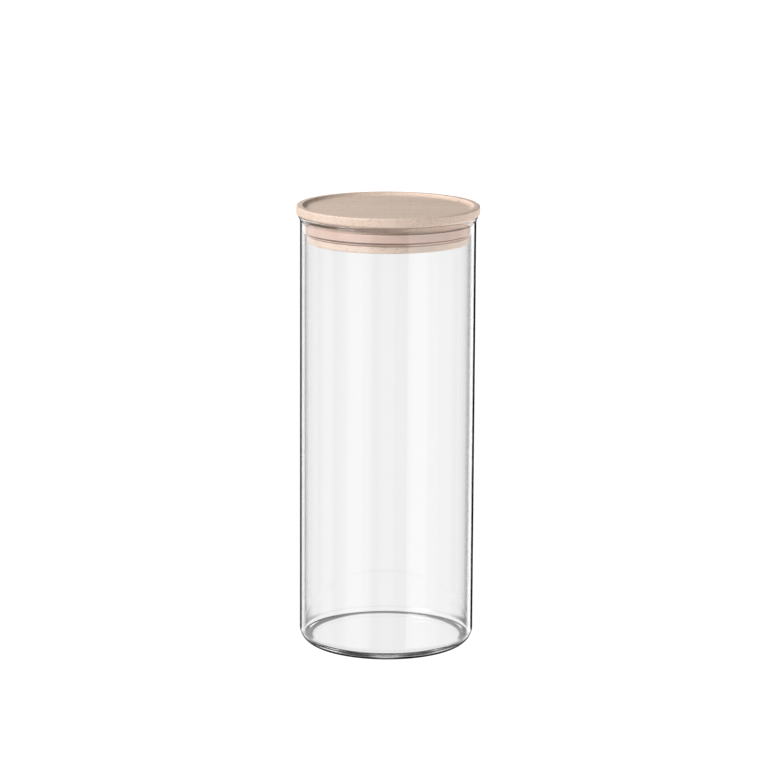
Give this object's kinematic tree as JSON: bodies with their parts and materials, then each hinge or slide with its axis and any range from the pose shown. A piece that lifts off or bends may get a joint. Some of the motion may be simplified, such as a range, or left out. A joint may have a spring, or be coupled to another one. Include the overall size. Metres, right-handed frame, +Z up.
{
  "type": "lidded glass canister",
  "caption": "Tall cylindrical glass storage canister with a push-fit turned wooden lid, sealed by a silicone lip ring.",
  "frame": {"origin": "middle of the base, on the surface the canister stands on", "axes": "+Z up the axis from base to lid; the object is turned about Z, so +X and +Y are alike except that the lid's grain runs along X"},
  "size_m": [0.1144, 0.1144, 0.28],
  "materials": {
    "clear_glass": "clear, smooth, fire-polished rim",
    "beech": "fine-sanded, unvarnished light beech",
    "silicone": "translucent, satin"
  },
  "bodies": {
    "jar": {"glass_jar": "clear_glass"},
    "seal": {"silicone_seal": "silicone"},
    "lid": {"wooden_lid": "beech"}
  },
  "joints": [
    {"name": "lid_lift", "type": "slide", "parent": "jar", "child": "seal", "axis": [0, 0, 1], "range_m": [0, 0.1]},
    {"name": "lid_turn", "type": "hinge", "parent": "seal", "child": "lid", "pos_m": [0, 0, 0.274], "axis": [0, 0, 1], "continuous": true}
  ]
}
